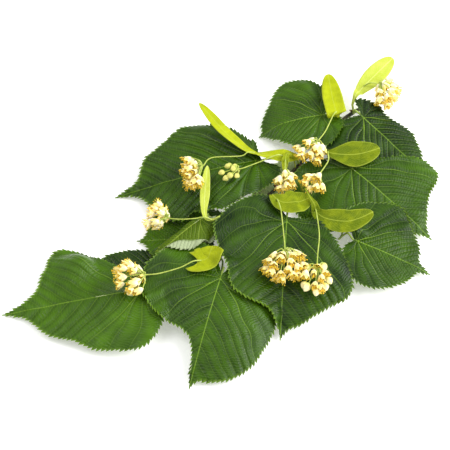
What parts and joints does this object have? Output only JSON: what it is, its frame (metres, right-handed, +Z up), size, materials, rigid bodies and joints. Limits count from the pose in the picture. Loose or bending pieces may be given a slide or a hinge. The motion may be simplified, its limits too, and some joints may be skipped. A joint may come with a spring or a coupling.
{
  "type": "cut flowering linden branch",
  "caption": "Cut linden branch in flower, lying flat: dark twig, heart-shaped toothed leaves, yellow-green strap bracts and cream blossom clusters.",
  "frame": {"origin": "middle of the bounding box's base, on the surface the branch lies on", "axes": "+Z up from that surface; +X along the branch's widest side, to the right as seen in the picture; +Y away from the viewer"},
  "size_m": [0.3831, 0.3428, 0.0406],
  "materials": {
    "leaf": "deep green, softly glossy, with sunken veins",
    "young_leaf": "fresh green, satin",
    "turned_leaf": "pale grey-green underside, matte",
    "stalk": "pale yellowish green, satin",
    "twig": "very dark green-brown bark, satin",
    "bract": "yellow-green, satin, with a pale midrib",
    "pale_bract": "pale yellow-green, satin",
    "blossom": "cream petals with orange-yellow stamens, matte"
  },
  "bodies": {
    "root": {"blossom_back_right": "blossom", "blossom_buds": "blossom", "blossom_far_left": "blossom", "blossom_front": "blossom", "blossom_front_right": "blossom", "blossom_left": "blossom", "blossom_left_back": "blossom", "blossom_middle": "blossom", "blossom_middle_back": "blossom", "blossom_middle_right": "blossom", "bract_back": "bract", "bract_back_right": "pale_bract", "bract_curled": "bract", "bract_front": "bract", "bract_long": "bract", "bract_middle": "bract", "bract_pale": "pale_bract", "bract_right": "bract", "bract_small": "bract", "flower_stalk_back_right": "stalk", "flower_stalk_buds": "stalk", "flower_stalk_far_left": "stalk", "flower_stalk_front": "stalk", "flower_stalk_front_right": "stalk", "flower_stalk_left": "stalk", "flower_stalk_left_back": "stalk", "flower_stalk_middle": "stalk", "flower_stalk_middle_back": "stalk", "flower_stalk_middle_right": "stalk", "leaf_back": "leaf", "leaf_back_left": "leaf", "leaf_back_right": "leaf", "leaf_beside": "leaf", "leaf_far_left": "leaf", "leaf_front": "leaf", "leaf_front_left": "leaf", "leaf_hidden": "leaf", "leaf_right": "leaf", "leaf_turned": "turned_leaf", "leaf_under": "leaf", "leaf_young": "young_leaf", "side_shoot": "twig", "stalk_back": "stalk", "stalk_back_left": "stalk", "stalk_back_right": "stalk", "stalk_beside": "stalk", "stalk_far_left": "stalk", "stalk_front": "stalk", "stalk_front_left": "stalk", "stalk_hidden": "stalk", "stalk_right": "stalk", "stalk_turned": "stalk", "stalk_under": "stalk", "stalk_young": "stalk", "twig": "twig"}
  },
  "joints": []
}
